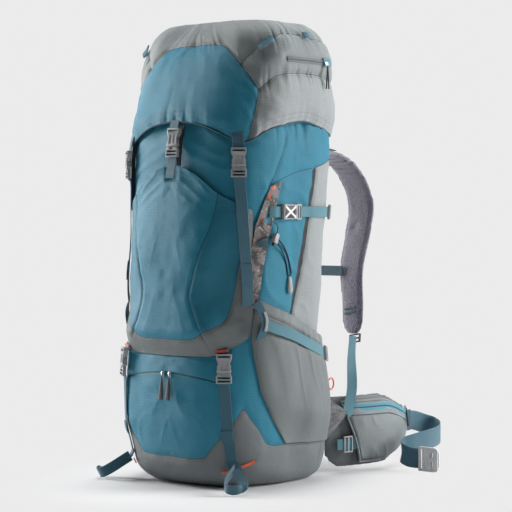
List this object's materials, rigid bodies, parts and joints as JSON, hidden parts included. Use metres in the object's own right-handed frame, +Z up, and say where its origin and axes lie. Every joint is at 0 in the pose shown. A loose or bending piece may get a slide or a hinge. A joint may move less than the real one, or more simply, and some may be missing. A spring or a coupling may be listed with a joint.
{
  "type": "hiking backpack",
  "caption": "Upright top-loading trekking backpack with a hooded lid, front and side pockets, buckled compression straps, padded shoulder straps and a hip belt.",
  "frame": {"origin": "middle of the flat base that the pack stands on", "axes": "+Z up, -Y out of the pack's front, +Y out of its back towards the wearer, +X to the right of someone facing the pack's front"},
  "size_m": [0.5795, 0.6233, 0.8335],
  "materials": {
    "teal_fabric": "woven ripstop nylon, matt with a slight sheen",
    "grey_fabric": "coarse grey polyester weave, matt",
    "pale_fabric": "light grey polyester weave, matt",
    "spacer_mesh": "open lilac-grey spacer mesh over foam",
    "webbing": "slate-teal woven webbing with a ribbed face",
    "buckle_plastic": "moulded warm-grey acetal, satin",
    "frame_rod": "drawn aluminium rod",
    "zip_metal": "plated zinc zip slider and pull",
    "cord": "black elastic cord and black moulded button"
  },
  "bodies": {
    "bag": {"lower_front_panel": "teal_fabric", "front_panel": "teal_fabric", "extension_collar": "teal_fabric", "front_pocket": "teal_fabric", "side_panel_left": "teal_fabric", "side_panel_right": "teal_fabric", "base_panel": "grey_fabric", "side_pocket_left": "grey_fabric", "side_pocket_right": "grey_fabric", "back_panel": "pale_fabric", "back_pad": "spacer_mesh", "lumbar_pad": "spacer_mesh", "lid_strap_left": "webbing", "lid_strap_right": "webbing", "base_strap_left": "webbing", "base_strap_right": "webbing", "side_strap_left": "webbing", "side_strap_right": "webbing", "shoulder_webbing_left": "webbing", "shoulder_webbing_right": "webbing", "base_buckle_socket_left": "buckle_plastic", "base_buckle_socket_right": "buckle_plastic", "side_buckle_socket_left": "buckle_plastic", "side_buckle_socket_right": "buckle_plastic", "pocket_buckle_socket": "buckle_plastic", "cord_lock_left": "buckle_plastic", "cord_lock_right": "buckle_plastic", "cord_pull_left": "buckle_plastic", "cord_pull_right": "buckle_plastic", "internal_frame": "frame_rod", "side_cord_left": "cord", "side_cord_right": "cord"},
    "lid": {"lid_shell": "grey_fabric", "lid_buckle_socket_left": "buckle_plastic", "lid_buckle_socket_right": "buckle_plastic"},
    "lid_zip": {"lid_zip_slider": "zip_metal"},
    "pocket_fork": {"pocket_buckle_fork": "buckle_plastic"},
    "shoulder_left": {"shoulder_strap_left": "spacer_mesh", "sternum_buckle_socket": "buckle_plastic"},
    "shoulder_right": {"shoulder_strap_right": "spacer_mesh"},
    "sternum_fork": {"sternum_buckle_fork": "buckle_plastic", "sternum_strap": "webbing"},
    "wing_left": {"hip_wing_left": "grey_fabric", "hip_webbing_left": "webbing", "hip_buckle_fork": "buckle_plastic"},
    "wing_right": {"hip_wing_right": "grey_fabric", "hip_webbing_right": "webbing", "hip_buckle_socket": "buckle_plastic"},
    "lid_fork_left": {"lid_buckle_fork_left": "buckle_plastic"},
    "base_fork_left": {"base_buckle_fork_left": "buckle_plastic"},
    "side_fork_left": {"side_buckle_fork_left": "buckle_plastic"},
    "belt_zip_left": {"belt_zip_slider_left": "zip_metal"},
    "base_zip_left": {"base_zip_slider_left": "zip_metal"},
    "lock_button_left": {"cord_lock_button_left": "cord"},
    "lid_fork_right": {"lid_buckle_fork_right": "buckle_plastic"},
    "base_fork_right": {"base_buckle_fork_right": "buckle_plastic"},
    "side_fork_right": {"side_buckle_fork_right": "buckle_plastic"},
    "belt_zip_right": {"belt_zip_slider_right": "zip_metal"},
    "base_zip_right": {"base_zip_slider_right": "zip_metal"},
    "lock_button_right": {"cord_lock_button_right": "cord"}
  },
  "joints": [
    {"name": "lid_open", "type": "hinge", "parent": "bag", "child": "lid", "pos_m": [0, 0.15, 0.634], "axis": [-1, 0, 0], "range_deg": [0, 90]},
    {"name": "lid_zip_run", "type": "slide", "parent": "lid", "child": "lid_zip", "axis": [0, -1, 0], "range_m": [0, 0.1]},
    {"name": "pocket_fork_release", "type": "slide", "parent": "bag", "child": "pocket_fork", "axis": [0, -0.1488, -0.9889], "range_m": [0, 0.022]},
    {"name": "shoulder_left_swing", "type": "hinge", "parent": "bag", "child": "shoulder_left", "pos_m": [0, 0.1335, 0.572], "axis": [1, 0, 0], "range_deg": [-15, 6], "stiffness_Nm_per_rad": 5},
    {"name": "shoulder_right_swing", "type": "hinge", "parent": "bag", "child": "shoulder_right", "pos_m": [0, 0.1335, 0.572], "axis": [1, 0, 0], "range_deg": [-15, 6], "stiffness_Nm_per_rad": 5},
    {"name": "sternum_fork_release", "type": "slide", "parent": "shoulder_right", "child": "sternum_fork", "axis": [1, 0, 0], "range_m": [0, 0.022]},
    {"name": "wing_left_wrap", "type": "hinge", "parent": "bag", "child": "wing_left", "pos_m": [-0.114, 0.15, 0.07], "axis": [0, 0, -1], "range_deg": [0, 20], "stiffness_Nm_per_rad": 1.5},
    {"name": "belt_zip_left_run", "type": "hinge", "parent": "wing_left", "child": "belt_zip_left", "pos_m": [-0.0083, 0.27, 0.112], "axis": [0, 0, 1], "range_deg": [0, 42]},
    {"name": "lid_fork_left_release", "type": "slide", "parent": "bag", "child": "lid_fork_left", "axis": [-0.02, -0.0238, -0.9995], "range_m": [0, 0.026]},
    {"name": "base_fork_left_release", "type": "slide", "parent": "bag", "child": "base_fork_left", "axis": [-0.0439, -0.0606, -0.9972], "range_m": [0, 0.025]},
    {"name": "side_fork_left_release", "type": "slide", "parent": "bag", "child": "side_fork_left", "axis": [0, 1, 0], "range_m": [0, 0.025]},
    {"name": "base_zip_left_run", "type": "hinge", "parent": "bag", "child": "base_zip_left", "pos_m": [0, -0.0565, 0.0439], "axis": [0, -0.8171, -0.5764], "range_deg": [0, 21]},
    {"name": "lock_button_left_press", "type": "slide", "parent": "bag", "child": "lock_button_left", "axis": [0, 0.4229, 0.9062], "range_m": [0, 0.004], "stiffness_N_per_m": 300},
    {"name": "wing_right_wrap", "type": "hinge", "parent": "bag", "child": "wing_right", "pos_m": [0.114, 0.15, 0.07], "axis": [0, 0, 1], "range_deg": [0, 20], "stiffness_Nm_per_rad": 1.5},
    {"name": "belt_zip_right_run", "type": "hinge", "parent": "wing_right", "child": "belt_zip_right", "pos_m": [0.0083, 0.27, 0.112], "axis": [0, 0, -1], "range_deg": [0, 42]},
    {"name": "lid_fork_right_release", "type": "slide", "parent": "bag", "child": "lid_fork_right", "axis": [0.02, -0.0238, -0.9995], "range_m": [0, 0.026]},
    {"name": "base_fork_right_release", "type": "slide", "parent": "bag", "child": "base_fork_right", "axis": [0.0439, -0.0606, -0.9972], "range_m": [0, 0.025]},
    {"name": "side_fork_right_release", "type": "slide", "parent": "bag", "child": "side_fork_right", "axis": [0, 1, 0], "range_m": [0, 0.025]},
    {"name": "base_zip_right_run", "type": "hinge", "parent": "bag", "child": "base_zip_right", "pos_m": [0, -0.0565, 0.0439], "axis": [0, 0.8171, 0.5764], "range_deg": [0, 21]},
    {"name": "lock_button_right_press", "type": "slide", "parent": "bag", "child": "lock_button_right", "axis": [0, 0.4229, 0.9062], "range_m": [0, 0.004], "stiffness_N_per_m": 300}
  ],
  "couplings": [
    {"joint": "shoulder_right_swing", "follows": "shoulder_left_swing", "ratio": 1}
  ]
}
